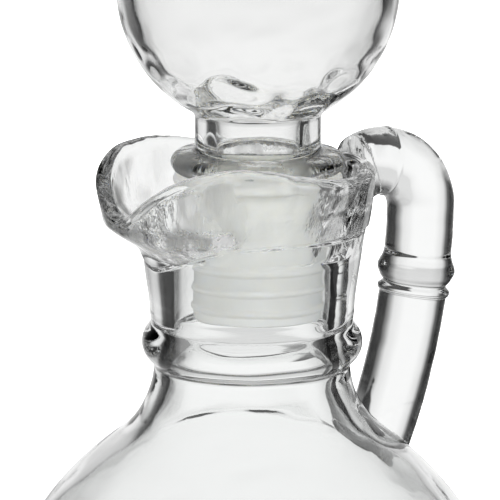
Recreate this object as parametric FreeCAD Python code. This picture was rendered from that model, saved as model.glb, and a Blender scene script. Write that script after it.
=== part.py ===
"""Glass oil bottle (table cruet) with a hollow ball stopper in a soft plastic sealing sleeve.

Millimetres, +Z up, origin at the centre of the foot's resting plane.
The pouring spout points along -X and the handle is on the +X side, so XZ is the plane of symmetry.
Lip angles are measured round the neck from the spout: 0 degrees at the spout, 180 at the handle.
"""
import FreeCAD, Part
import os
from math import atan2, cos, degrees, exp, radians, sin, sqrt
from FreeCAD import Vector

# ---- driving dimensions -------------------------------------------------------------------

# bulb: outer profile made of arcs tangent to each other, from the foot up to the neck
neck_r = 15.0            # outside of the neck just above the shoulder
shoulder_top_z = 79.1    # where the neck starts to flare into the shoulder
shoulder_arc_r = 15.5    # hollow curve between neck and shoulder
shoulder_turn = 54.0     # degrees that this curve turns through
belly_arc_r = 50.0       # long curve of the belly
low_arc_r = 30.0         # tighter curve under the belly, down to the foot
heel_fillet = 3.5
punt_r = 19.0            # shallow hollow pressed up under the foot
punt_h = 2.2
wall = 3.0
floor_t = 4.5

# neck, lip and spout
ledge_z = 83.7           # the bore narrows from here up to the seat
seat_bottom_z = 84.5     # lower end of the bore that the stopper seats in
seat_bottom_r = 11.6
seat_top_z = 96.5        # above this the bore opens as a funnel
seat_top_r = 11.9
neck_start_z = 81.5      # foot of the neck, under the ring; round, and a little proud of the bulb
lip_wall = 2.4
spout_reach = 5.2        # how far the spout stands out from the round lip
spout_under_z = (96.2, 101.6)    # heights between which the spout swells out on the outside
spout_half_angle = (34.0, 48.0)  # degrees to where it has mostly died away, low down and above
spout_floor_z = (96.5, 103.5)    # heights between which its floor runs out on the inside
rim_fillet = 1.0
form_lip_r = 17.6        # the handle stays outside this radius above the rim

# decorative ring round the neck
ring_z = 82.0
ring_r = 16.9
ring_half_h = 3.1

# handle: a solid glass rod, an arc over the top and a long gentle arc down to the shoulder
rod_r = 5.3
rod_root_r = 4.7         # slimmer where it leaves the lip
arch_centre = (21.95, 100.15)
arch_r = 7.75
arch_from, arch_to = 130.0, -1.5     # degrees, measured in the XZ plane from +X
root_lead = 3.0          # straight length from the arch back into the lip
grip_r = 105.0
grip_turn = 21.5         # degrees
rod_taper_length = 11.0  # along the rod from its root to its full radius

# collar moulded round the handle, as a bead, a groove and a smaller step
collar_z = 90.2
collar_r = 6.0
collar_half_h = 1.9
step_r = 5.7
step_drop = 3.3          # from the bead's middle down to the step's middle
step_half_h = 0.5

# stopper, one hollow piece of glass that is open at the foot of its plug
stopper_offset = 1.0     # stopper and sleeve sit this far towards the handle, fins squeezed there
plug_bottom_z = 87.6
plug_bottom_r = 8.75
plug_top_r = 9.0
bubble_neck_r = 6.3      # inside of plug and stem
disc_bottom_z = 108.2
disc_r = 13.2
disc_t = 3.0
stem_r = 9.55
stem_fillet = 1.0
ball_r = 21.2
ball_inner_r = 19.3
ball_z = 136.2
bubble_lift = 0.7        # the bubble inside sits this much higher than the ball

# soft plastic sleeve between the glass plug and the neck
sleeve_bottom_z = 86.6
sleeve_flange_z = 106.3  # under side of the flange
sleeve_flange_t = 1.65
sleeve_flange_r = 12.85
sleeve_gap = 0.08        # radial running fit on the glass plug
sleeve_tube_r = (9.7, 9.95)      # at its lower end and under the flange
rib_rise = 0.35          # sealing ribs round the sleeve
rib_t = 0.8
rib_zs = (88.6, 91.8, 95.0)


# ---- small helpers ------------------------------------------------------------------------

def save(shape, node):
    solids = shape.Solids
    if not shape.isValid() or len(solids) != 1:
        raise RuntimeError("%s: valid %s, %d solids" % (node, shape.isValid(), len(solids)))
    solids[0].exportStep("parts/%s.step" % node)
    print("%-16s %9.2f cm3" % (node, shape.Volume / 1000))


def revolve(edges, axis_x=0.0):
    """Full turn about a vertical axis of a closed outline drawn in the XZ plane."""
    face = Part.Face(Part.Wire(Part.__sortEdges__(edges)))
    return face.revolve(Vector(axis_x, 0, 0), Vector(0, 0, 1), 360)


def polyline(points):
    corners = [Vector(x, 0, z) for x, z in points]
    return [Part.makeLine(a, b) for a, b in zip(corners, corners[1:])]


def arc(centre, radius, from_deg, to_deg):
    """Arc in the XZ plane through the middle of its span."""
    def at(deg):
        return Vector(centre[0] + radius * cos(radians(deg)), 0,
                      centre[1] + radius * sin(radians(deg)))
    return Part.Arc(at(from_deg), at((from_deg + to_deg) / 2), at(to_deg)).toShape()


def smooth(value, low, high):
    """0 below low, 1 above high, with a level start and finish."""
    t = min(max((value - low) / (high - low), 0.0), 1.0)
    return t * t * (3 - 2 * t)


def through(value, table):
    """Straight-line reading of a table of (height, value) pairs."""
    for (z0, v0), (z1, v1) in zip(table, table[1:]):
        if value <= z1:
            return v0 + (v1 - v0) * (value - z0) / (z1 - z0)
    return table[-1][1]


# ---- bulb ---------------------------------------------------------------------------------

# centres of the arcs, worked out from one tangent point to the next
shoulder_centre = (neck_r + shoulder_arc_r, shoulder_top_z)
inflection = (shoulder_centre[0] - shoulder_arc_r * cos(radians(shoulder_turn)),
              shoulder_centre[1] - shoulder_arc_r * sin(radians(shoulder_turn)))
belly_centre = (inflection[0] - belly_arc_r * cos(radians(shoulder_turn)),
                inflection[1] - belly_arc_r * sin(radians(shoulder_turn)))
belly_r = belly_centre[0] + belly_arc_r
low_centre = (belly_r - low_arc_r, belly_centre[1])


def bulb_outline(inset, bottom_z, neck_points):
    """Half outline from the axis at bottom_z, up the wall and the neck, and back to the axis."""
    low_r = low_arc_r - inset
    low_end = degrees(atan2(bottom_z - low_centre[1], sqrt(low_r ** 2
                      - (bottom_z - low_centre[1]) ** 2)))
    low_x = low_centre[0] + low_r * cos(radians(low_end))
    edges = polyline([(0, bottom_z), (low_x, bottom_z)])
    edges.append(arc(low_centre, low_r, low_end, 0))
    edges.append(arc(belly_centre, belly_arc_r - inset, 0, shoulder_turn))
    edges.append(arc(shoulder_centre, shoulder_arc_r + inset, 180 + shoulder_turn, 180))
    top_z = neck_points[-1][1]
    edges += polyline([(neck_r - inset, shoulder_top_z), *neck_points, (0, top_z), (0, bottom_z)])
    return edges


def punt():
    """Shallow dome cut up into the foot."""
    dome_r = (punt_r ** 2 + punt_h ** 2) / (2 * punt_h)
    dome = Part.makeSphere(dome_r, Vector(0, 0, punt_h - dome_r))
    slab = Part.makeBox(4 * punt_r, 4 * punt_r, 2 * punt_h, Vector(-2 * punt_r, -2 * punt_r, 0))
    return dome.common(slab)


# ---- neck, lip and spout ------------------------------------------------------------------

# (height, radius) outside and inside, and (lip angle, height) round the rim; lip sections are
# made right up to 114 mm and then trimmed to the rim
neck_outside = [(81.5, 15.3), (88.0, 15.7), (91.5, 16.1), (94.5, 16.5), (97.5, 17.0),
                (100.6, 17.5), (103.8, 18.15), (107.0, 18.7), (110.0, 19.0), (114.0, 19.2)]
funnel = [(96.5, 12.2), (99.0, 12.7), (101.0, 13.3), (103.5, 14.3), (106.0, 15.3), (108.0, 16.0),
          (110.0, 16.4), (114.0, 16.8)]
rim_height = [(0, 103.2), (15, 105.8), (30, 109.6), (45, 111.6), (60, 111.9), (75, 111.3),
              (90, 110.3), (120, 109.1), (150, 109.0), (180, 109.3)]
outside_heights = (81.5, 85, 88, 91, 93.5, 95.2, 96.6, 98, 99.4, 100.8, 102.5, 105, 108, 111, 114)
inside_heights = (96.5, 98, 99.5, 101, 102.5, 104, 106, 108.5, 111, 114)
lip_angles = range(0, 360, 10)


def from_spout(angle):
    """Angle from the spout, folded so that both sides of the lip are alike."""
    return abs((angle + 180) % 360 - 180)


def spout_weight(angle, z):
    low, high = spout_half_angle
    half_angle = low + (high - low) * smooth(z, *spout_under_z)
    return exp(-(from_spout(angle) / half_angle) ** 4)


def outside_radius(angle, z):
    swell = spout_reach * smooth(z, *spout_under_z)
    return through(z, neck_outside) + spout_weight(angle, z) * swell


def inside_radius(angle, z):
    bore = through(z, funnel)
    channel = through(z, neck_outside) + spout_reach - lip_wall
    return bore + spout_weight(angle, z) * smooth(z, *spout_floor_z) * (channel - bore)


def lip_point(angle, radius, z):
    return Vector(-radius * cos(radians(angle)), -radius * sin(radians(angle)), z)


def closed_curve(points):
    curve = Part.BSplineCurve()
    curve.interpolate(Points=points, PeriodicFlag=True)
    return curve.toShape()


def lip_form(radius_at, heights):
    """Solid through closed sections whose radius varies round the neck and with height."""
    sections = []
    for z in heights:
        ring = [lip_point(a, radius_at(a, z), z) for a in lip_angles]
        sections.append(Part.Wire(closed_curve(ring)))
    return Part.makeLoft(sections, True, False)


def above_rim():
    """Everything above the rim, whose height changes round the lip."""
    heights = [through(from_spout(a), rim_height) for a in lip_angles]
    inner = closed_curve([lip_point(a, 4.0, z) for a, z in zip(lip_angles, heights)])
    outer = closed_curve([lip_point(a, 32.0, z) for a, z in zip(lip_angles, heights)])
    return Part.makeRuledSurface(inner, outer).extrude(Vector(0, 0, 25))


def outer_form():
    """The bottle's outside as one full solid, with nothing hollowed out."""
    foot = revolve(bulb_outline(0.0, 0.0, [(neck_r, neck_start_z + 1.0)]))
    heel = [e for e in foot.Edges if abs(e.BoundBox.ZMax) < 0.01]
    foot = foot.makeFillet(heel_fillet, heel)
    lip = lip_form(outside_radius, outside_heights)
    return foot.fuse(lip).cut(above_rim())


def hollow():
    """Inside of bulb, neck seat and funnel, all one space."""
    neck_points = [(neck_r - wall, ledge_z), (seat_bottom_r, seat_bottom_z), (seat_top_r, seat_top_z)]
    inside = revolve(bulb_outline(wall, floor_t, neck_points))
    return inside.fuse(lip_form(inside_radius, inside_heights))


def bottle_body():
    """Blown bottle: bulb, neck, lip and pouring spout in one wall of glass."""
    body = outer_form().cut([hollow(), punt()])
    lowest_rim = rim_height[0][1]
    rim = [e for e in body.Edges if e.BoundBox.ZMin > lowest_rim - 1
           and e.BoundBox.YLength > 2 * seat_top_r]
    return body.makeFillet(rim_fillet, rim)


# ---- ring and handle, each fused on to the bottle's outside -----------------------------------

def bead(outer_r, half_h, base_r):
    """Ring of revolution round Z: a bead of height 2 half_h at base_r, bulging out to outer_r."""
    bulge = outer_r - base_r
    bead_r = (half_h ** 2 + bulge ** 2) / (2 * bulge)
    spread = degrees(atan2(half_h, bead_r - bulge))
    outline = [arc((outer_r - bead_r, 0), bead_r, -spread, spread)]
    outline += polyline([(base_r, half_h), (base_r - 1, half_h), (base_r - 1, -half_h),
                         (base_r, -half_h)])
    return revolve(outline)


def neck_ring(form):
    ring = bead(ring_r, ring_half_h, neck_r)
    ring.translate(Vector(0, 0, ring_z))
    return ring.cut(form)


# the handle's centre line: arch, then a long arc that goes on from the arch's end
arch_end = (arch_centre[0] + arch_r * cos(radians(arch_to)),
            arch_centre[1] + arch_r * sin(radians(arch_to)))
grip_centre = (arch_end[0] - grip_r * cos(radians(arch_to)),
               arch_end[1] - grip_r * sin(radians(arch_to)))


def handle_stations():
    """Points along the handle's centre line as (x, z, heading in degrees, distance from root)."""
    root_heading = arch_from - 90
    x0 = arch_centre[0] + arch_r * cos(radians(arch_from))
    z0 = arch_centre[1] + arch_r * sin(radians(arch_from))
    stations = [(x0 - root_lead * cos(radians(root_heading)),
                 z0 - root_lead * sin(radians(root_heading)), root_heading, 0.0)]
    arch_steps, grip_steps = 12, 10
    for i in range(arch_steps + 1):
        turn = arch_from + (arch_to - arch_from) * i / arch_steps
        stations.append((arch_centre[0] + arch_r * cos(radians(turn)),
                         arch_centre[1] + arch_r * sin(radians(turn)), turn - 90,
                         root_lead + arch_r * radians(arch_from - turn)))
    arch_length = root_lead + arch_r * radians(arch_from - arch_to)
    for i in range(1, grip_steps + 1):
        turn = arch_to - grip_turn * i / grip_steps
        stations.append((grip_centre[0] + grip_r * cos(radians(turn)),
                         grip_centre[1] + grip_r * sin(radians(turn)), turn - 90,
                         arch_length + grip_r * radians(arch_to - turn)))
    return stations


def handle(form):
    """Rod lofted along its centre line, trimmed where it is fused to lip and shoulder."""
    sections = []
    for x, z, heading, distance in handle_stations():
        radius = rod_root_r + (rod_r - rod_root_r) * smooth(distance, 0, rod_taper_length)
        along = Vector(cos(radians(heading)), 0, sin(radians(heading)))
        sections.append(Part.Wire(Part.makeCircle(radius, Vector(x, 0, z), along)))
    rod = Part.makeLoft(sections, True, False)
    over_lip = Part.makeCylinder(form_lip_r, 40, Vector(0, 0, rim_height[-1][1] - 1))
    return rod.cut([form, over_lip])


def handle_collar(rod):
    """Bead and step that ring the handle, square to the rod where they sit."""
    turn = degrees(atan2(collar_z - grip_centre[1],
                         sqrt(grip_r ** 2 - (collar_z - grip_centre[1]) ** 2)))
    centre_x = grip_centre[0] + grip_r * cos(radians(turn))
    big = bead(collar_r, collar_half_h, rod_r - 0.2)
    step = bead(step_r, step_half_h, rod_r - 0.2)
    step.translate(Vector(0, 0, -step_drop))
    groove = Part.makeCylinder(rod_r + 0.15, step_drop, Vector(0, 0, -step_drop))
    collar = big.fuse([step, groove])
    collar.rotate(Vector(0, 0, 0), Vector(0, 1, 0), -turn)
    collar.translate(Vector(centre_x, 0, collar_z))
    return collar.cut(rod)


# ---- stopper and its sleeve ---------------------------------------------------------------

def plug_radius(z):
    slope = (plug_top_r - plug_bottom_r) / (disc_bottom_z - plug_bottom_z)
    return plug_bottom_r + slope * (z - plug_bottom_z)


def stopper():
    """Hollow glass stopper: tapered plug, round-edged disc, stem and ball."""
    disc_top_z = disc_bottom_z + disc_t
    edge_r = disc_t / 2
    join_z = ball_z - sqrt(ball_r ** 2 - stem_r ** 2)
    bubble_z = ball_z + bubble_lift
    inner_join_z = bubble_z - sqrt(ball_inner_r ** 2 - bubble_neck_r ** 2)
    join_deg = degrees(atan2(join_z - ball_z, stem_r))
    inner_deg = degrees(atan2(inner_join_z - bubble_z, bubble_neck_r))
    edges = polyline([(bubble_neck_r, inner_join_z), (bubble_neck_r, plug_bottom_z),
                      (plug_bottom_r, plug_bottom_z), (plug_top_r, disc_bottom_z),
                      (disc_r - edge_r, disc_bottom_z)])
    edges.append(arc((disc_r - edge_r, disc_bottom_z + edge_r), edge_r, -90, 90))
    edges += polyline([(disc_r - edge_r, disc_top_z), (stem_r, disc_top_z), (stem_r, join_z)])
    edges.append(arc((0, ball_z), ball_r, join_deg, 90))
    edges += polyline([(0, ball_z + ball_r), (0, bubble_z + ball_inner_r)])
    edges.append(arc((0, bubble_z), ball_inner_r, 90, inner_deg))
    glass = revolve(edges)
    corners = [e for e in glass.Edges if abs(e.BoundBox.XLength - 2 * stem_r) < 0.01
               and e.BoundBox.ZLength < 0.01]
    glass = glass.makeFillet(stem_fillet, corners)
    glass.translate(Vector(stopper_offset, 0, 0))
    return glass


def sealing_rib(z):
    """Low ring round the sleeve at height z, rooted in the middle of its wall."""
    outer_r = max(sleeve_tube_r) + rib_rise
    root_r = (plug_top_r + sleeve_gap + sleeve_tube_r[0]) / 2
    rib = Part.makeCylinder(outer_r, rib_t, Vector(stopper_offset, 0, z - rib_t / 2))
    return rib.cut(Part.makeCylinder(root_r, 2 * rib_t, Vector(stopper_offset, 0, z - rib_t)))


def stopper_sleeve():
    """Tapered plastic tube with a flange under the glass disc and sealing ribs lower down."""
    flange_top_z = sleeve_flange_z + sleeve_flange_t
    inside = [(plug_radius(z) + sleeve_gap, z) for z in (sleeve_bottom_z, flange_top_z)]
    tube = list(zip(sleeve_tube_r, (sleeve_bottom_z, sleeve_flange_z)))
    edge_r = sleeve_flange_t / 2
    outline = polyline([inside[1], inside[0], tube[0], tube[1],
                        (sleeve_flange_r - edge_r, sleeve_flange_z)])
    outline.append(arc((sleeve_flange_r - edge_r, sleeve_flange_z + edge_r), edge_r, -90, 90))
    outline += polyline([(sleeve_flange_r - edge_r, flange_top_z), inside[1]])
    sleeve = revolve(outline)
    sleeve.translate(Vector(stopper_offset, 0, 0))
    return sleeve.fuse([sealing_rib(z) for z in rib_zs])


os.makedirs("parts", exist_ok=True)
form = outer_form()
rod = handle(form)
save(bottle_body(), "bottle_body")
save(neck_ring(form), "neck_ring")
save(rod, "handle")
save(handle_collar(rod), "handle_collar")
save(stopper(), "stopper")
save(stopper_sleeve(), "stopper_sleeve")
print("bulb radius %.2f, capacity %.0f ml" % (belly_r, hollow().Volume / 1000))
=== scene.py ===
"""Looks of the glass oil cruet: one fused glass bottle, a hollow glass stopper and its plastic sleeve.

Lengths below are in millimetres until a mesh is made, where mm turns them into metres.
The spout points along -X and the handle is on the +X side. Lip angles run from the spout.
"""
from math import atan2, cos, degrees, exp, hypot, pi, radians, sin, sqrt

import bpy
import numpy as np
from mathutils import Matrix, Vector
from mathutils.noise import noise as space_noise


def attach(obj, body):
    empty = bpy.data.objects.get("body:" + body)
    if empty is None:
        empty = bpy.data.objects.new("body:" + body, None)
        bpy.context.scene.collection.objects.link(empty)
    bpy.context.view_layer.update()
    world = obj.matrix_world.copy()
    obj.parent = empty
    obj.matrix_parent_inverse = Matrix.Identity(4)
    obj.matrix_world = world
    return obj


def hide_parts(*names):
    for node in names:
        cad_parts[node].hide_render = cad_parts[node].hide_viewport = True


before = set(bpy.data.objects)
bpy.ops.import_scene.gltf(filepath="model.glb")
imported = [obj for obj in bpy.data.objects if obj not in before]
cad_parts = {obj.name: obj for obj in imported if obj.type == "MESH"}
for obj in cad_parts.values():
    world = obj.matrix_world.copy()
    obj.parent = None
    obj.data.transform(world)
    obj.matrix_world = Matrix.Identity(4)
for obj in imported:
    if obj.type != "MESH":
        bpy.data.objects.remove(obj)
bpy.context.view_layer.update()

mm = 0.001

# ---- dimensions, as the CAD has them ----------------------------------------------------------

neck_r, shoulder_top_z, shoulder_arc_r, shoulder_turn = 15.0, 79.1, 15.5, 54.0
belly_arc_r, low_arc_r = 50.0, 30.0
heel_r = 3.5
punt_r, punt_h = 19.0, 2.2
wall, floor_t = 3.0, 4.5
ledge_z, seat_bottom_z, seat_bottom_r, seat_top_z, seat_top_r = 83.7, 84.5, 11.6, 96.5, 11.9
lip_wall, spout_reach = 2.4, 5.2
spout_half_angle = (34.0, 48.0)
spout_under_z, spout_floor_z = (96.2, 101.6), (96.5, 103.5)
neck_outside = [(81.5, 15.2), (88.0, 15.7), (94.5, 16.5), (100.6, 17.5), (107.0, 18.7), (114.0, 19.2)]
funnel = [(96.5, 12.0), (101.0, 13.3), (106.0, 15.3), (110.0, 16.4), (114.0, 16.8)]
rim_height = [(0, 103.2), (15, 105.8), (30, 109.6), (45, 111.6), (60, 111.9), (75, 111.3),
              (90, 110.3), (120, 109.1), (150, 109.0), (180, 109.3)]
ring_z, ring_r, ring_half_h = 82.0, 16.9, 3.1
rod_r, rod_root_r = 5.3, 4.7
arch_centre, arch_r, arch_from, arch_to = (21.95, 100.15), 7.75, 130.0, -1.5
root_lead, grip_r, grip_turn, rod_taper_length = 3.0, 105.0, 21.5, 11.0
collar_z, collar_r = 90.2, 6.0
step_r, step_drop, step_half_h = 5.7, 3.3, 0.5
stopper_offset = 1.0     # stopper and sleeve stand this far towards the handle
plug_bottom_z, plug_bottom_r, plug_top_r, bubble_neck_r = 87.6, 8.75, 9.0, 6.3
disc_bottom_z, disc_r, disc_t = 108.2, 13.2, 3.0
stem_r, stem_fillet = 9.55, 1.0
ball_r, ball_inner_r, ball_z, bubble_lift = 21.2, 19.3, 136.2, 0.7
sleeve_bottom_z, sleeve_flange_z, sleeve_flange_t, sleeve_flange_r = 86.6, 106.3, 1.65, 12.85
sleeve_tube_r, sleeve_gap = (9.7, 9.95), 0.08
rib_rise, rib_t, rib_zs = 0.35, 0.8, (88.6, 91.8, 95.0)

# ---- small shapes that only the visual has, in millimetres and degrees --------------------------

rim_round = 1.15                            # height of the rim's rounding
mould_line_z, mould_line_dip, mould_line_dip_angle = 100.4, 5.2, 36.0
mould_step, mould_step_start, mould_step_fade = 0.4, (-0.12, 0.15), (0.4, 6.0)
mould_groove_drop, mould_groove_width = 0.4, 0.26
neck_flare_z = (82.0, 87.0)                 # the neck leaves its plain radius between these
bead_fillet, bead_fillet_reach = 0.25, 0.35
lip_start_z = 87.5
collar_rise, collar_spread = collar_r - rod_r + 0.1, 1.5
collar_groove, collar_groove_lift, collar_groove_width = 0.35, 1.05, 0.4
root_flare, root_flare_length = 0.8, 2.2
seam_angle, seam_rise, seam_width = 82.0, 0.16, 0.3     # where the arch was joined on
floor_corner = 1.5                          # rounding between the bulb's floor and its side
fillet_turn, bubble_mouth_turn, bubble_mouth_depth = 3.6, 6.0, 2.2

# waves in the glass: depth, then their size sideways and upright
lip_inside_waves = (0.16, (2.2, 7.0))
lip_outside_waves = (0.10, (4.0, 4.0))
throat_waves = (0.16, (8.0, 5.0))
handle_waves = (0.07, (5.0, 2.6))
inside_neck_z, calm_bore_z = 72.0, 86.0     # the bore is even above the second height
handle_from_r, handle_from_z = 21.0, 70.0   # the handle is everything outside and above these
bulb_waves = (0.10, (7.0, 4.5))
bulb_waves_z = (20.0, 60.0)                 # they grow over this height
bubble_waves, bubble_extra_waves = (0.06, (5.0, 3.5)), 0.5
bubble_extra_z = (122.0, 132.0)             # the extra waves die away over this height
stopper_outer_waves = (0.04, (5.0, 5.0))

# hazy, wrinkled finish; the haze also greys the glass, which is painted shade inside the spout and on
# the handle's arch
tooled_z, tooled_below_rim, tooled_off_spout = (97.0, 100.5), (1.0, 2.5), 0.2
arch_shade_span, arch_shade_amount, disc_haze = (78.0, 86.0, 130.0, 150.0), 0.12, 0.6

bottle_around, stopper_around, sleeve_around, rod_around = 240, 192, 160, 64    # vertices round each


# ---- small helpers ----------------------------------------------------------------------------

def smooth(value, low, high):
    """0 below low, 1 above high, with a level start and finish."""
    t = min(max((value - low) / (high - low), 0.0), 1.0)
    return t * t * (3 - 2 * t)


def bump(value, middle, width):
    """Bell curve of height 1."""
    return exp(-((value - middle) / width) ** 2)


class Through:
    """Cubic spline through a table of (place, value) pairs; level at both ends if asked."""

    def __init__(self, table, level_ends=False):
        self.table = table
        last = len(table) - 1
        matrix, right = np.zeros((last + 1, last + 1)), np.zeros(last + 1)
        steps = [b[0] - a[0] for a, b in zip(table, table[1:])]
        rises = [b[1] - a[1] for a, b in zip(table, table[1:])]
        for i in range(1, last):
            before, after = steps[i - 1], steps[i]
            matrix[i, i - 1:i + 2] = 1 / before, 2 / before + 2 / after, 1 / after
            right[i] = 3 * (rises[i - 1] / before ** 2 + rises[i] / after ** 2)
        matrix[0, 0] = matrix[last, last] = 1.0 if level_ends else 2.0
        if not level_ends:
            matrix[0, 1] = matrix[last, last - 1] = 1.0
            right[0] = 3 * rises[0] / steps[0]
            right[last] = 3 * rises[-1] / steps[-1]
        self.slopes = [float(v) for v in np.linalg.solve(matrix, right)]

    def __call__(self, place):
        table = self.table
        place = min(max(place, table[0][0]), table[-1][0])
        i = next(k for k in range(len(table) - 1) if place <= table[k + 1][0])
        (x0, v0), (x1, v1) = table[i], table[i + 1]
        width = x1 - x0
        t = (place - x0) / width
        return (v0 * (1 + 2 * t) * (1 - t) ** 2 + v1 * t * t * (3 - 2 * t)
                + width * (self.slopes[i] * t * (1 - t) ** 2 - self.slopes[i + 1] * t * t * (1 - t)))


def spread(count, low, high):
    """count + 1 even steps from low to high."""
    return [low + (high - low) * i / count for i in range(count + 1)]


def arc_points(centre, radius, from_deg, to_deg, count):
    return [(centre[0] + radius * cos(radians(a)), centre[1] + radius * sin(radians(a)))
            for a in spread(count, from_deg, to_deg)]


def line_points(start, end, count):
    """Even points from start up to, but without, end."""
    return [(start[0] + (end[0] - start[0]) * i / count, start[1] + (end[1] - start[1]) * i / count)
            for i in range(count)]


def skin(name, rings, closed=False):
    """Mesh over rings of points in millimetres. It is capped at both ends unless it is closed."""
    count = len(rings[0])
    verts = [Vector(p) * mm for ring in rings for p in ring]
    faces = []
    last = len(rings) if closed else len(rings) - 1
    for j in range(last):
        low, high = j * count, (j + 1) % len(rings) * count
        for i in range(count):
            k = (i + 1) % count
            faces.append((low + i, low + k, high + k, high + i))
    if not closed:
        for ring_start, flip in ((0, True), ((len(rings) - 1) * count, False)):
            ring = verts[ring_start:ring_start + count]
            verts.append(sum(ring, Vector()) / count)
            for i in range(count):
                k = (i + 1) % count
                pair = (ring_start + k, ring_start + i) if flip else (ring_start + i, ring_start + k)
                faces.append((*pair, len(verts) - 1))
    mesh = bpy.data.meshes.new(name)
    mesh.from_pydata(verts, [], faces)
    mesh.validate()
    mesh.shade_smooth()
    piece = bpy.data.objects.new(name, mesh)
    bpy.context.scene.collection.objects.link(piece)
    return piece


def turned(name, outline, count, axis_x=0.0):
    """Body of revolution from a closed outline of (radius, z) points."""
    rings = []
    for r, z in outline:
        turns = [2 * pi * i / count for i in range(count)]
        rings.append([(axis_x + r * cos(a), r * sin(a), z) for a in turns])
    return skin(name, rings, closed=True)


def waver(piece, waves_at):
    """Moves the surface in and out unevenly, as hand-worked glass is. waves_at gives depth and size."""
    mesh = piece.data
    normals = [vertex.normal.copy() for vertex in mesh.vertices]
    for vertex, normal in zip(mesh.vertices, normals):
        place = vertex.co / mm
        depth, (side, high) = waves_at(place)
        height = space_noise(Vector((place.x / side, place.y / side, place.z / high)))
        vertex.co += normal * depth * height * mm


# ---- bottle -----------------------------------------------------------------------------------

shoulder_centre = (neck_r + shoulder_arc_r, shoulder_top_z)
belly_centre = (neck_r + shoulder_arc_r - (shoulder_arc_r + belly_arc_r) * cos(radians(shoulder_turn)),
                shoulder_top_z - (shoulder_arc_r + belly_arc_r) * sin(radians(shoulder_turn)))
belly_r = belly_centre[0] + belly_arc_r
low_centre = (belly_r - low_arc_r, belly_centre[1])

neck_curve = Through(neck_outside)
funnel_curve = Through(funnel)
rim_curve = Through(rim_height, level_ends=True)


def from_spout(angle):
    return abs((angle + 180) % 360 - 180)


def spout_weight(angle, z):
    low, high = spout_half_angle
    half_angle = low + (high - low) * smooth(z, *spout_under_z)
    return exp(-(from_spout(angle) / half_angle) ** 4)


def crease_z(angle):
    """Height of the faint mould line where the flared lip begins."""
    return mould_line_z - mould_line_dip * bump(from_spout(angle), 0, mould_line_dip_angle)


def groove_depth(angle):
    """The mould line is pinched in unevenly along its length."""
    turn = radians(angle)
    return 0.42 + 0.2 * sin(11 * turn + 0.6) + 0.12 * sin(26 * turn) + 0.06 * sin(47 * turn + 2.0)


def outside_radius(angle, z):
    round_r = neck_curve(z) + spout_weight(angle, z) * spout_reach * smooth(z, *spout_under_z)
    above = z - crease_z(angle)
    step = mould_step * smooth(above, *mould_step_start) * (1 - smooth(above, *mould_step_fade))
    return round_r + step - groove_depth(angle) * bump(above, -mould_groove_drop, mould_groove_width)


def inside_radius(angle, z):
    bore = funnel_curve(z)
    channel = neck_curve(z) + spout_reach - lip_wall
    return bore + spout_weight(angle, z) * smooth(z, *spout_floor_z) * (channel - bore)


def ring_at(radius_at, z_at):
    ring = []
    for i in range(bottle_around):
        angle = 360 * i / bottle_around
        z = z_at(angle)
        r = radius_at(angle, z)
        ring.append((-r * cos(radians(angle)), -r * sin(radians(angle)), z))
    return ring


def bulb_profile(inset, bottom_z, steps):
    """(radius, z) up one side of the bulb, from its lower arc at bottom_z to the neck."""
    low_r = low_arc_r - inset
    drop = bottom_z - low_centre[1]
    low_end = degrees(atan2(drop, sqrt(low_r ** 2 - drop ** 2)))
    points = arc_points(low_centre, low_r, low_end, 0, steps[0])
    points += arc_points(belly_centre, belly_arc_r - inset, 0, shoulder_turn, steps[1])[1:]
    points += arc_points(shoulder_centre, shoulder_arc_r + inset, 180 + shoulder_turn, 180,
                         steps[2])[1:]
    return points


def foot_profile():
    """Punt, flat foot ring and rounded heel, from the axis out to the bulb's lower arc."""
    dome_r = (punt_r ** 2 + punt_h ** 2) / (2 * punt_h)
    points = [(r, punt_h - dome_r + sqrt(dome_r ** 2 - r * r)) for r in spread(12, 0.4, punt_r)]
    # the heel's arc touches the foot plane and the inside of the lower arc
    reach = low_arc_r - heel_r
    drop = low_centre[1] - heel_r
    heel_x = low_centre[0] + sqrt(reach ** 2 - drop ** 2)
    lean = degrees(atan2(-drop, sqrt(reach ** 2 - drop ** 2)))
    points += arc_points((heel_x, heel_r), heel_r, -90, lean, 8)
    return points, points[-1][1]


def ring_bead(z):
    """How far the neck ring stands out of the neck at a height."""
    bulge = ring_r - neck_r
    bead_r = (ring_half_h ** 2 + bulge ** 2) / (2 * bulge)
    off = abs(z - ring_z)
    if off >= bead_r:
        return 0.0
    return max(0.0, ring_r - bead_r + sqrt(bead_r ** 2 - off ** 2) - neck_r)


def neck_with_ring(z):
    """Outside of the round neck with its ring, with small fillets where they meet."""
    plain = neck_r + (neck_curve(max(z, neck_outside[0][0])) - neck_r) * smooth(z, *neck_flare_z)
    bead = ring_bead(z) + neck_r
    return max(plain, bead) + bead_fillet * exp(-abs(plain - bead) / bead_fillet_reach)


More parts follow.
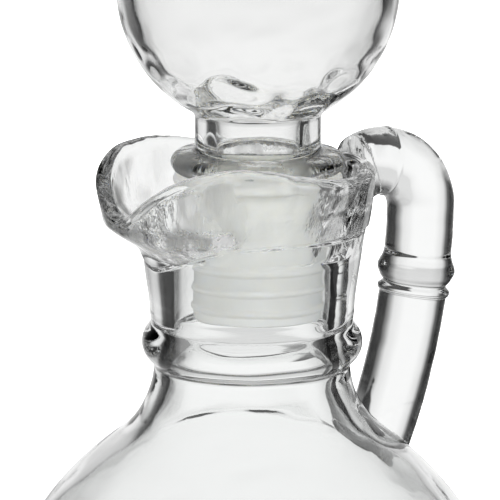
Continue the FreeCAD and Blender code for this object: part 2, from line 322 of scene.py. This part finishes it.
def lip_rings():
    """Rings from the neck ring up the outside, over the rim and down into the funnel."""
    rings = []
    fine_from, fine_to = -1.0, 0.3       # closely spaced rings on both sides of the mould line
    for t in spread(24, 0, 1):
        rings.append(ring_at(outside_radius, lambda a: (
            lip_start_z + t * (crease_z(a) + fine_from - 0.1 - lip_start_z))))
    for t in spread(26, fine_from, fine_to):
        rings.append(ring_at(outside_radius, lambda a: crease_z(a) + t))
    for t in spread(44, 0, 1)[1:]:
        def z_at(a):
            start = crease_z(a) + fine_to
            return start + t * (rim_curve(from_spout(a)) - rim_round - start)
        rings.append(ring_at(outside_radius, z_at))
    for phi in spread(16, 0, 180)[1:-1]:
        def rim_radius(a, z):
            top = rim_curve(from_spout(a)) - rim_round
            outer, inner = outside_radius(a, top), inside_radius(a, top)
            return (outer + inner) / 2 + (outer - inner) / 2 * cos(radians(phi))
        rings.append(ring_at(rim_radius, lambda a: (rim_curve(from_spout(a)) - rim_round
                                                    + rim_round * sin(radians(phi)))))
    for t in spread(60, 1, 0):
        def z_at(a):
            return seat_top_z + t * (rim_curve(from_spout(a)) - rim_round - seat_top_z)
        rings.append(ring_at(inside_radius, z_at))
    return rings


def round_rings(profile):
    return [ring_at(lambda a, z, r=r: r, lambda a, z=z: z) for r, z in profile]


def outer_rings():
    foot, heel_top = foot_profile()
    bulb = bulb_profile(0.0, heel_top, (26, 60, 26))[1:]
    neck = [(neck_with_ring(z), z) for z in spread(44, shoulder_top_z - 0.35, lip_start_z - 0.3)]
    bulb = [p for p in bulb if p[1] < neck[0][1] - 0.1]
    return round_rings(foot + bulb + neck)


def seat_radius(z):
    slope = (seat_top_r - seat_bottom_r) / (seat_top_z - seat_bottom_z)
    return seat_bottom_r + slope * (z - seat_bottom_z)


def inner_rings():
    """Rings down the inside: seat, ledge, throat, bulb and floor."""
    seat = [(seat_radius(z), z) for z in spread(12, seat_top_z - 0.4, seat_bottom_z + 0.15)]
    throat_r = neck_r - wall
    ledge_shape = [(throat_r + (seat_bottom_r - throat_r) * smooth(z, ledge_z, seat_bottom_z), z)
                   for z in spread(10, seat_bottom_z, ledge_z)]
    throat = [(throat_r, z) for z in spread(3, ledge_z - 0.3, shoulder_top_z + 0.4)]
    bulb = list(reversed(bulb_profile(wall, floor_t + floor_corner, (20, 40, 20))))
    corner = bulb[-1]
    floor = [(corner[0] * t, floor_t + floor_corner * t ** 6) for t in spread(14, 0.97, 0.02)]
    return round_rings(seat + ledge_shape + throat + bulb + floor)


def bottle_blank():
    rings = outer_rings() + lip_rings() + inner_rings()
    return skin("glass_bottle", rings)


# ---- handle -----------------------------------------------------------------------------------

arch_end = (arch_centre[0] + arch_r * cos(radians(arch_to)),
            arch_centre[1] + arch_r * sin(radians(arch_to)))
grip_centre = (arch_end[0] - grip_r * cos(radians(arch_to)),
               arch_end[1] - grip_r * sin(radians(arch_to)))
arch_length = arch_r * radians(arch_from - arch_to)
rod_length = root_lead + arch_length + grip_r * radians(grip_turn)


def rod_place(s):
    """(x, z, heading) of the handle's centre line at distance s from its root in the lip."""
    if s < root_lead:
        heading = radians(arch_from - 90)
        x = arch_centre[0] + arch_r * cos(radians(arch_from)) - (root_lead - s) * cos(heading)
        z = arch_centre[1] + arch_r * sin(radians(arch_from)) - (root_lead - s) * sin(heading)
        return x, z, heading
    if s < root_lead + arch_length:
        turn = radians(arch_from) - (s - root_lead) / arch_r
        return arch_centre[0] + arch_r * cos(turn), arch_centre[1] + arch_r * sin(turn), turn - pi / 2
    turn = radians(arch_to) - (s - root_lead - arch_length) / grip_r
    return grip_centre[0] + grip_r * cos(turn), grip_centre[1] + grip_r * sin(turn), turn - pi / 2


collar_turn = atan2(collar_z - grip_centre[1],
                    sqrt(grip_r ** 2 - (collar_z - grip_centre[1]) ** 2))
collar_s = root_lead + arch_length + (radians(arch_to) - collar_turn) * grip_r
seam_s = root_lead + arch_r * radians(arch_from - seam_angle)


def rod_radius(s):
    """Radius of the rod, with its flared root, joining seam, collar bead, groove and step."""
    off = s - collar_s
    taper = rod_root_r + (rod_r - rod_root_r) * smooth(s, 0, rod_taper_length)
    flare = root_flare * exp(-s / root_flare_length)
    seam = seam_rise * bump(s, seam_s, seam_width)
    bead = collar_rise * bump(off, 0.0, collar_spread)
    groove = collar_groove * bump(off, step_drop - collar_groove_lift, collar_groove_width)
    step = (step_r - rod_r) * exp(-((off - step_drop) / (step_half_h * 1.1)) ** 4)
    return taper + flare + seam + bead - groove + step


def handle_rod():
    rings = []
    for s in spread(300, 0, rod_length):
        x, z, heading = rod_place(s)
        r = rod_radius(s)
        ring = []
        for i in range(rod_around):
            a = 2 * pi * i / rod_around
            side, out = r * cos(a), r * sin(a)
            ring.append((x - out * sin(heading), side, z + out * cos(heading)))
        rings.append(ring)
    return skin("handle_rod", rings)


def wall_middle():
    """Solid up to the middle of the bottle's wall. It trims the handle's ends inside the glass."""
    bulb = bulb_profile(wall / 2, 10.0, (8, 30, 20))
    rings = round_rings(bulb)
    for t in spread(20, 0, 1):
        def z_at(a):
            return ring_z + t * (rim_curve(from_spout(a)) - ring_z)

        def radius(a, z):
            inner = inside_radius(a, z) if z > seat_top_z else seat_top_r
            return (outside_radius(a, z) + inner) / 2
        rings.append(ring_at(radius, z_at))
    rings.append([(x, y, z + 8) for x, y, z in rings[-1]])      # well above the rim
    return skin("wall_middle", rings)


def combine(piece, other, operation):
    """Boolean of two meshes; the result replaces the first one's mesh and the second is removed."""
    step = piece.modifiers.new("combine", "BOOLEAN")
    step.operation, step.object, step.solver = operation, other, "EXACT"
    done = bpy.data.meshes.new_from_object(
        piece.evaluated_get(bpy.context.evaluated_depsgraph_get()))
    piece.modifiers.clear()
    done.name = piece.name
    piece.data = done
    bpy.data.objects.remove(other)


def arch_shade_patch(x, z):
    """1 on top of the handle's arch next to the lip, where the glass is greyed as painted shade."""
    from_centre = hypot(x - arch_centre[0], z - arch_centre[1])
    turn = degrees(atan2(z - arch_centre[1], x - arch_centre[0]))
    along = smooth(turn, *arch_shade_span[:2]) * (1 - smooth(turn, *arch_shade_span[2:]))
    return along * smooth(from_centre, arch_r - 1, arch_r + 2)


def mark_haze_and_painted_shade(piece):
    """Vertex attribute, up to 1 where glass gets wrinkles, haze and painted grey shade: inside the
    spout and lip, where hot glass was drawn out, and on the handle's top.
    """
    marks = []
    for vertex in piece.data.vertices:
        x, y, z = vertex.co / mm
        angle = degrees(atan2(-y, -x))
        middle = (outside_radius(angle, z) + inside_radius(angle, z)) / 2 if z > seat_top_z else 0
        inside = hypot(x, y) < middle
        below_rim = rim_curve(from_spout(angle)) - z
        if inside:
            amount = smooth(z, *tooled_z) * smooth(below_rim, *tooled_below_rim)
            share = tooled_off_spout + (1 - tooled_off_spout) * spout_weight(angle, z)
            marks.append(amount * share)
        # painted shade: the top of the handle's arch is greyed and roughened
        elif x > neck_r and z > arch_centre[1]:
            marks.append(arch_shade_amount * arch_shade_patch(x, z))
        else:
            marks.append(0.0)
    piece.data.attributes.new("haze_and_painted_shade", "FLOAT", "POINT").data.foreach_set("value", marks)


def bottle_waves(place):
    """Depth and (sideways, upright) size of the waves in the bottle's glass."""
    x, y, z = place
    across = hypot(x, y)
    if z > seat_top_z and x < neck_r - 1:
        angle = degrees(atan2(-y, -x))
        inside = across < (outside_radius(angle, z) + inside_radius(angle, z)) / 2
        return lip_inside_waves if inside else lip_outside_waves
    if z > inside_neck_z and across < seat_bottom_r + 0.6:
        depth, size = throat_waves
        return (0.0 if z > calm_bore_z else depth), size
    if across > handle_from_r and z > handle_from_z:
        return handle_waves
    depth, size = bulb_waves
    return depth * smooth(z, *bulb_waves_z), size


def glass_bottle():
    piece = bottle_blank()
    rod = handle_rod()
    combine(rod, wall_middle(), "DIFFERENCE")
    combine(piece, rod, "UNION")
    piece.data.shade_smooth()
    mark_haze_and_painted_shade(piece)
    waver(piece, bottle_waves)
    return piece


# ---- stopper and sleeve -----------------------------------------------------------------------

def plug_radius(z):
    slope = (plug_top_r - plug_bottom_r) / (disc_bottom_z - plug_bottom_z)
    return plug_bottom_r + slope * (z - plug_bottom_z)


def stopper_outline():
    """Closed (radius, z) outline of the hollow stopper, up the outside and down the inside."""
    edge = disc_t / 2
    top = disc_bottom_z + disc_t
    join_z = ball_z - sqrt(ball_r ** 2 - stem_r ** 2)
    bubble_z = ball_z + bubble_lift
    inner_join_z = bubble_z - sqrt(ball_inner_r ** 2 - bubble_neck_r ** 2)
    lip = (plug_bottom_r - bubble_neck_r) / 2
    points = arc_points((bubble_neck_r + lip, plug_bottom_z + lip), lip, 180, 360, 12)
    start = points[-1]
    points += line_points(start, (plug_top_r - 0.1, disc_bottom_z - 0.4), 14)[1:]
    points += arc_points((plug_top_r + 0.3, disc_bottom_z - 0.4), 0.4, 180, 90, 5)
    points += line_points((plug_top_r + 0.5, disc_bottom_z), (disc_r - edge, disc_bottom_z), 4)
    points += arc_points((disc_r - edge, disc_bottom_z + edge), edge, -90, 80, 18)
    points += line_points((disc_r - edge - 0.2, top + 0.03), (stem_r + stem_fillet, top + 0.2), 5)
    points += arc_points((stem_r + stem_fillet, top + 0.2 + stem_fillet), stem_fillet, 270, 180, 8)
    foot = top + 0.2 + stem_fillet
    neck_top = join_z - 0.9
    points += line_points((stem_r, foot), (stem_r, neck_top), 8)[1:]
    # fillet from the stem into the ball
    join_deg = degrees(atan2(join_z - ball_z, stem_r))
    ball = arc_points((0, ball_z), ball_r, join_deg + fillet_turn, 89.4, 90)
    corner = (stem_r, join_z)
    for t in spread(8, 0, 1)[:-1]:
        a, b, c = (1 - t) ** 2, 2 * t * (1 - t), t * t
        points.append((a * stem_r + b * corner[0] + c * ball[0][0],
                       a * neck_top + b * corner[1] + c * ball[0][1]))
    points += ball
    inner_deg = degrees(atan2(inner_join_z - bubble_z, bubble_neck_r))
    inner = arc_points((0, bubble_z), ball_inner_r, 89.4, inner_deg + bubble_mouth_turn, 80)
    points += inner
    corner = (bubble_neck_r, inner_join_z)
    low = (bubble_neck_r, inner_join_z - bubble_mouth_depth)
    for t in spread(10, 0, 1)[1:]:
        a, b, c = (1 - t) ** 2, 2 * t * (1 - t), t * t
        points.append((a * inner[-1][0] + b * corner[0] + c * low[0],
                       a * inner[-1][1] + b * corner[1] + c * low[1]))
    points += line_points(low, (bubble_neck_r, plug_bottom_z + lip), 24)[1:]
    return points


def stopper_waves(place):
    """The bubble's lower wall is the least even, next to the stem's mouth."""
    x, y, z = place
    from_centre = hypot(x - stopper_offset, y, z - ball_z - bubble_lift)
    if from_centre > ball_inner_r + 0.5 or z < 115:
        return stopper_outer_waves
    depth, size = bubble_waves
    return depth + bubble_extra_waves * (1 - smooth(z, *bubble_extra_z)), size


def disc_mark(place):
    """How hazy the disc between stem and plug is; 0 elsewhere."""
    x, y, z = place
    top = disc_bottom_z + disc_t
    upright = smooth(z, disc_bottom_z - 0.3, disc_bottom_z) * (1 - smooth(z, top + 0.1, top + 0.4))
    return disc_haze * upright * smooth(hypot(x - stopper_offset, y), stem_r, stem_r + 0.8)


def glass_stopper():
    """Hollow stopper with a hazy disc."""
    piece = turned("glass_stopper", stopper_outline(), stopper_around, stopper_offset)
    rough_and_grey = [disc_mark(vertex.co / mm) for vertex in piece.data.vertices]
    piece.data.attributes.new("haze_and_painted_shade", "FLOAT", "POINT").data.foreach_set("value", rough_and_grey)
    waver(piece, stopper_waves)
    return piece


def sleeve_outline():
    """Closed (radius, z) outline of the sleeve's flange and tapered tube with its sealing ribs."""
    top = sleeve_flange_z + sleeve_flange_t
    edge = sleeve_flange_t / 2
    low_r, high_r = sleeve_tube_r
    points = [(plug_radius(z) + sleeve_gap, z) for z in spread(24, top - 0.2, sleeve_bottom_z + 0.15)]
    points += [(plug_radius(sleeve_bottom_z) + sleeve_gap + 0.15, sleeve_bottom_z),
               (low_r - 0.15, sleeve_bottom_z), (low_r, sleeve_bottom_z + 0.15)]
    tube = line_points((low_r, sleeve_bottom_z + 0.15), (high_r, sleeve_flange_z - 0.5), 160)[1:]
    points += [(r + rib_rise * sum(exp(-((z - rib_z) / (0.55 * rib_t)) ** 4) for rib_z in rib_zs), z)
               for r, z in tube]
    points += arc_points((high_r + 0.5, sleeve_flange_z - 0.5), 0.5, 180, 90, 5)
    points += arc_points((sleeve_flange_r - edge, sleeve_flange_z + edge), edge, -90, 90, 14)
    points += [(plug_radius(top) + sleeve_gap + 0.2, top)]
    return points


def plastic_sleeve():
    return turned("plastic_sleeve", sleeve_outline(), sleeve_around, stopper_offset)


# ---- materials --------------------------------------------------------------------------------

def new_material(name):
    material = bpy.data.materials.new(name)
    material.use_nodes = True
    nodes = material.node_tree.nodes
    return material, nodes, material.node_tree.links, nodes["Principled BSDF"]


def maths(nodes, links, operation, *values):
    node = nodes.new("ShaderNodeMath")
    node.operation = operation
    for socket, value in zip(node.inputs, values):
        if isinstance(value, (int, float)):
            socket.default_value = value
        else:
            links.new(value, socket)
    return node.outputs[0]


def noise(nodes, links, scale, detail, coordinates, stretch=(1, 1, 1)):
    mapping = nodes.new("ShaderNodeMapping")
    mapping.inputs["Scale"].default_value = stretch
    links.new(coordinates, mapping.inputs["Vector"])
    texture = nodes.new("ShaderNodeTexNoise")
    texture.inputs["Scale"].default_value = scale
    texture.inputs["Detail"].default_value = detail
    links.new(mapping.outputs["Vector"], texture.inputs["Vector"])
    return texture.outputs["Fac"]


def bump_node(nodes, links, height, strength, distance, normal=None):
    node = nodes.new("ShaderNodeBump")
    node.inputs["Strength"].default_value = strength
    node.inputs["Distance"].default_value = distance
    links.new(height, node.inputs["Height"])
    if normal:
        links.new(normal, node.inputs["Normal"])
    return node.outputs["Normal"]


def ramp(nodes, links, value, span, levels=(0.0, 1.0), kind="LINEAR"):
    """Goes from the first level, at the start of the span of values, to the second at its end."""
    node = nodes.new("ShaderNodeMapRange")
    node.interpolation_type = kind
    for name, number in zip(("From Min", "From Max", "To Min", "To Max"), (*span, *levels)):
        node.inputs[name].default_value = number
    links.new(value, node.inputs["Value"])
    return node.outputs["Result"]


def blend(nodes, links, factor, first, second):
    """Mix of two colours, each a socket or a value."""
    node = nodes.new("ShaderNodeMix")
    node.data_type = "RGBA"
    links.new(factor, node.inputs["Factor"])
    for name, colour in (("A", first), ("B", second)):
        if isinstance(colour, bpy.types.NodeSocket):
            links.new(colour, node.inputs[name])
        else:
            node.inputs[name].default_value = colour
    return node.outputs["Result"]


def choose(nodes, links, factor, first, second):
    """The first shader where factor is 0 and the second where it is 1, on the material's surface."""
    node = nodes.new("ShaderNodeMixShader")
    links.new(factor, node.inputs["Fac"])
    links.new(first, node.inputs[1])
    links.new(second, node.inputs[2])
    links.new(node.outputs["Shader"], nodes["Material Output"].inputs["Surface"])


# grey the marked glass is blended to: painted shade inside the spout and on the handle's arch, and a
# greyer stopper disc
grey_for_haze_and_painted_shade = (0.6, 0.6, 0.59, 1)
straight_through = (0.93, 0.94, 0.935, 1)    # what the glass lets through without bending


def wrinkles_haze_and_painted_shade(nodes, links, shader, place, normal):
    """Drawn-out wrinkles, a slightly hazy surface and a greyer colour where the attribute says so; the
    grey is painted shade inside the spout and on the handle's arch.
    """
    marks = nodes.new("ShaderNodeAttribute")
    marks.attribute_name = "haze_and_painted_shade"
    amount = marks.outputs["Fac"]
    streaks = noise(nodes, links, 330, 4.0, place, (1, 1, 0.22))
    height = maths(nodes, links, "MULTIPLY", streaks, amount)
    links.new(bump_node(nodes, links, height, 0.9, 0.0016, normal), shader.inputs["Normal"])
    patches = noise(nodes, links, 220, 2.0, place, (1, 1, 0.4))
    patches = ramp(nodes, links, patches, (0.4, 0.62), kind="SMOOTHSTEP")
    rough_and_grey = maths(nodes, links, "MULTIPLY", amount, patches)
    links.new(rough_and_grey, shader.inputs["Roughness"])
    # painted shade: the base colour is greyed where the attribute and the patches say
    clear = tuple(shader.inputs["Base Color"].default_value)
    links.new(blend(nodes, links, rough_and_grey, clear, grey_for_haze_and_painted_shade), shader.inputs["Base Color"])


def clear_glass(name, tint, ripple):
    """Clear soda-lime glass with slow waves and finer ripples, as pressed glass has."""
    material, nodes, links, shader = new_material(name)
    shader.inputs["Base Color"].default_value = (*tint, 1)
    shader.inputs["Transmission Weight"].default_value = 1.0
    shader.inputs["Roughness"].default_value = 0.0
    shader.inputs["IOR"].default_value = 1.5
    place = nodes.new("ShaderNodeTexCoord").outputs["Object"]
    slow = noise(nodes, links, 90, 1.0, place, (1, 1, 0.6))
    fine = noise(nodes, links, 420, 2.0, place, (1, 1, 0.35))
    normal = bump_node(nodes, links, slow, ripple, 0.0006)
    normal = bump_node(nodes, links, fine, ripple * 0.5, 0.0001, normal)
    wrinkles_haze_and_painted_shade(nodes, links, shader, place, normal)
    # light for shadows and for soft bounces goes straight through, so the floor stays bright
    clear = nodes.new("ShaderNodeBsdfTransparent")
    clear.inputs["Color"].default_value = straight_through
    ray = nodes.new("ShaderNodeLightPath")
    either = maths(nodes, links, "MAXIMUM", ray.outputs["Is Shadow Ray"], ray.outputs["Is Diffuse Ray"])
    choose(nodes, links, either, shader.outputs["BSDF"], clear.outputs["BSDF"])
    return material


def sleeve_plastic():
    """Milky translucent polyethylene, a little warm, with faint flow marks."""
    material, nodes, links, shader = new_material("milky_plastic")
    shader.inputs["Roughness"].default_value = 0.42
    shader.inputs["IOR"].default_value = 1.2
    shader.inputs["Transmission Weight"].default_value = 0.45
    shader.inputs["Subsurface Weight"].default_value = 1.0
    shader.inputs["Subsurface Radius"].default_value = (1.0, 0.95, 0.85)
    shader.inputs["Subsurface Scale"].default_value = 0.002
    place = nodes.new("ShaderNodeTexCoord").outputs["Object"]
    cloud = noise(nodes, links, 160, 3.0, place, (1, 1, 0.5))
    clouding = ramp(nodes, links, cloud, (0.3, 0.7))
    milky = blend(nodes, links, clouding, (0.88, 0.865, 0.82, 1), (0.94, 0.93, 0.905, 1))
    links.new(milky, shader.inputs["Base Color"])
    grain = noise(nodes, links, 900, 2.0, place)
    links.new(bump_node(nodes, links, grain, 0.25, 0.0001), shader.inputs["Normal"])
    return material


# ---- set: floor, light and camera --------------------------------------------------------------

view_azimuth = radians(-27.5)    # the camera looks along +Y at azimuth 0
view_elevation = radians(12.5)
view_distance = 0.450
view_target = Vector((0.0, 0.0, 0.096))
aim_right = -0.0003              # the picture's middle, to the right of the target
lens = 213.2

# distances along the floor from the bottle's axis and levels of brightness that show through glass
near_floor_level, near_floor_end, cards_start = 0.85, 0.09, 0.20
far_floor, far_floor_level = (0.5, 1.8), 0.75
overhead, overhead_levels = (radians(10), radians(28)), (0.75, 0.05)
lamp_distance, lamp_size = 1.0, 0.6
# name, degrees round from the front, degrees up, watts
lamps = [("key", -60, 20, 11.0), ("fill", 40, 15, 9.0), ("back", 160, 30, 11.0)]


def camera():
    right = Vector((cos(view_azimuth), sin(view_azimuth), 0))
    back = Vector((sin(view_azimuth) * cos(view_elevation),
                   -cos(view_azimuth) * cos(view_elevation), sin(view_elevation)))
    data = bpy.data.cameras.new("camera")
    data.lens = lens
    data.clip_start, data.clip_end = 0.01, 20
    cam = bpy.data.objects.new("camera", data)
    cam.location = view_target + right * aim_right + back * view_distance
    cam.rotation_mode = "QUATERNION"
    cam.rotation_quaternion = (-back).to_track_quat("-Z", "Y")
    bpy.context.scene.collection.objects.link(cam)
    bpy.context.scene.camera = cam


# painted shade: a dark patch in the floor's glow behind the handle, seen only through the glass; in
# metres from the bottle's axis
dark_patch_right, dark_patch_behind, dark_patch_edge, dark_patch_level = (0.024, 0.125), (0.07, 0.19), 0.012, 0.07

# brightness of the surroundings by degrees to the right of the line behind the object
card_stops = [(-180, 0.5), (-110, 0.45), (-76, 0.3), (-62, 0.03), (-43, 0.015), (-34, 0.12),
              (-25, 0.8), (-12, 1.0), (12, 1.0), (26, 0.8), (33, 0.3), (40, 0.03), (66, 0.01),
              (84, 0.1), (105, 0.4), (180, 0.5)]


def seen_from_camera(nodes, links, x, y):
    """(to the right, away from the camera) along the floor, from a place's or direction's x and y."""
    right = maths(nodes, links, "ADD", maths(nodes, links, "MULTIPLY", x, cos(view_azimuth)),
                  maths(nodes, links, "MULTIPLY", y, sin(view_azimuth)))
    away = maths(nodes, links, "ADD", maths(nodes, links, "MULTIPLY", x, -sin(view_azimuth)),
                 maths(nodes, links, "MULTIPLY", y, cos(view_azimuth)))
    return right, away


def cards(nodes, links, x, y, dimming):
    """Upright white and black cards round the object, from a direction's x and y, dimmed."""
    right, away = seen_from_camera(nodes, links, x, y)
    turn = maths(nodes, links, "DIVIDE", maths(nodes, links, "ARCTAN2", right, away), 2 * pi)
    levels = nodes.new("ShaderNodeValToRGB")
    links.new(maths(nodes, links, "ADD", turn, 0.5), levels.inputs["Fac"])
    elements = levels.color_ramp.elements
    elements.remove(elements[-1])
    elements[0].position = 0.0
    for off, level in card_stops:
        element = elements.new(off / 360 + 0.5) if off > -180 else elements[0]
        element.color = (level, level, level, 1)
    dimmed = nodes.new("ShaderNodeVectorMath")
    dimmed.operation = "SCALE"
    links.new(levels.outputs["Color"], dimmed.inputs[0])
    links.new(dimming, dimmed.inputs["Scale"])
    return dimmed.outputs["Vector"]


def painted_dark_patch(nodes, links, x, y):
    """1, less in a painted dark patch behind the handle; it only shows through the glass."""
    inside = 1.0
    for value, (low, high) in zip(seen_from_camera(nodes, links, x, y), (dark_patch_right, dark_patch_behind)):
        for span in ((low, low + dark_patch_edge), (high, high - dark_patch_edge)):
            edge = ramp(nodes, links, value, span, kind="SMOOTHSTEP")
            inside = maths(nodes, links, "MULTIPLY", inside, edge)
    return maths(nodes, links, "MULTIPLY_ADD", inside, dark_patch_level - 1.0, 1.0)


def floor():
    """Pale floor. Rays that have gone through glass see a painted reflection of the cards on it
    instead, and a painted dark patch behind the handle.
    """
    size = 6.0
    mesh = bpy.data.meshes.new("floor")
    mesh.from_pydata([(-size, -size, 0), (size, -size, 0), (size, size, 0), (-size, size, 0)], [],
                     [(0, 1, 2, 3)])
    obj = bpy.data.objects.new("floor", mesh)
    bpy.context.scene.collection.objects.link(obj)
    material, nodes, links, shader = new_material("pale_floor")
    shader.inputs["Base Color"].default_value = (0.9, 0.9, 0.9, 1)
    shader.inputs["Roughness"].default_value = 0.6
    shader.inputs["Emission Color"].default_value = (1, 1, 1, 1)
    shader.inputs["Emission Strength"].default_value = 0.95
    apart = nodes.new("ShaderNodeSeparateXYZ")
    links.new(nodes.new("ShaderNodeTexCoord").outputs["Object"], apart.inputs[0])
    x, y = apart.outputs[:2]
    squares = [maths(nodes, links, "MULTIPLY", value, value) for value in (x, y)]
    distance = maths(nodes, links, "SQRT", maths(nodes, links, "ADD", *squares))
    fade = ramp(nodes, links, distance, far_floor, (1.0, far_floor_level))
    near = (near_floor_level, near_floor_level, near_floor_level, 1)
    shade = blend(nodes, links, ramp(nodes, links, distance, (near_floor_end, cards_start)), near,
                  cards(nodes, links, x, y, fade))
    glow = nodes.new("ShaderNodeEmission")
    links.new(shade, glow.inputs["Color"])
    links.new(painted_dark_patch(nodes, links, x, y), glow.inputs["Strength"])
    camera_ray = nodes.new("ShaderNodeLightPath").outputs["Is Camera Ray"]
    choose(nodes, links, camera_ray, glow.outputs["Emission"], shader.outputs["BSDF"])
    mesh.materials.append(material)


def studio():
    """White and black cards all round, dimmer overhead. The camera itself sees plain white."""
    world = bpy.data.worlds.new("studio")
    bpy.context.scene.world = world
    world.use_nodes = True
    nodes, links = world.node_tree.nodes, world.node_tree.links
    apart = nodes.new("ShaderNodeSeparateXYZ")
    links.new(nodes.new("ShaderNodeTexCoord").outputs["Generated"], apart.inputs[0])
    x, y, z = apart.outputs
    dimming = ramp(nodes, links, maths(nodes, links, "ARCSINE", z), overhead, overhead_levels)
    camera_ray = nodes.new("ShaderNodeLightPath").outputs["Is Camera Ray"]
    seen = blend(nodes, links, camera_ray, cards(nodes, links, x, y, dimming), (1, 1, 1, 1))
    links.new(seen, nodes["Background"].inputs["Color"])
    nodes["Background"].inputs["Strength"].default_value = 1.0


def soft_lights():
    """Wide lamps that light the plastic and the floor but aren't seen in or through the glass."""
    for name, azimuth, elevation, power in lamps:
        data = bpy.data.lights.new(name, "AREA")
        data.shape, data.size, data.energy = "DISK", lamp_size, power
        lamp = bpy.data.objects.new(name, data)
        a, e = radians(azimuth), radians(elevation)
        away = Vector((sin(a) * cos(e), -cos(a) * cos(e), sin(e)))
        lamp.location = view_target + away * lamp_distance
        lamp.rotation_mode = "QUATERNION"
        lamp.rotation_quaternion = away.to_track_quat("Z", "Y")
        lamp.visible_camera = lamp.visible_glossy = lamp.visible_transmission = False
        bpy.context.scene.collection.objects.link(lamp)


def colour_and_paths():
    scene = bpy.context.scene
    scene.view_settings.view_transform = "Standard"
    scene.view_settings.look = "None"
    scene.cycles.max_bounces = 24
    scene.cycles.transmission_bounces = 24
    scene.cycles.glossy_bounces = 12
    scene.cycles.transparent_max_bounces = 24
    scene.cycles.use_denoising = True


# ---- assembly ---------------------------------------------------------------------------------

camera()
floor()
studio()
soft_lights()
colour_and_paths()

bottle = glass_bottle()
bottle.data.materials.append(clear_glass("clear_glass", (0.985, 0.992, 0.988), 0.14))
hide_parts("bottle_body", "neck_ring", "handle", "handle_collar")
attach(bottle, "bottle")

stopper = glass_stopper()
stopper.data.materials.append(clear_glass("stopper_clear_glass", (0.99, 0.993, 0.99), 0.1))
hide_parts("stopper")
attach(stopper, "stopper")

sleeve = plastic_sleeve()
sleeve.data.materials.append(sleeve_plastic())
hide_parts("stopper_sleeve")
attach(sleeve, "sleeve")
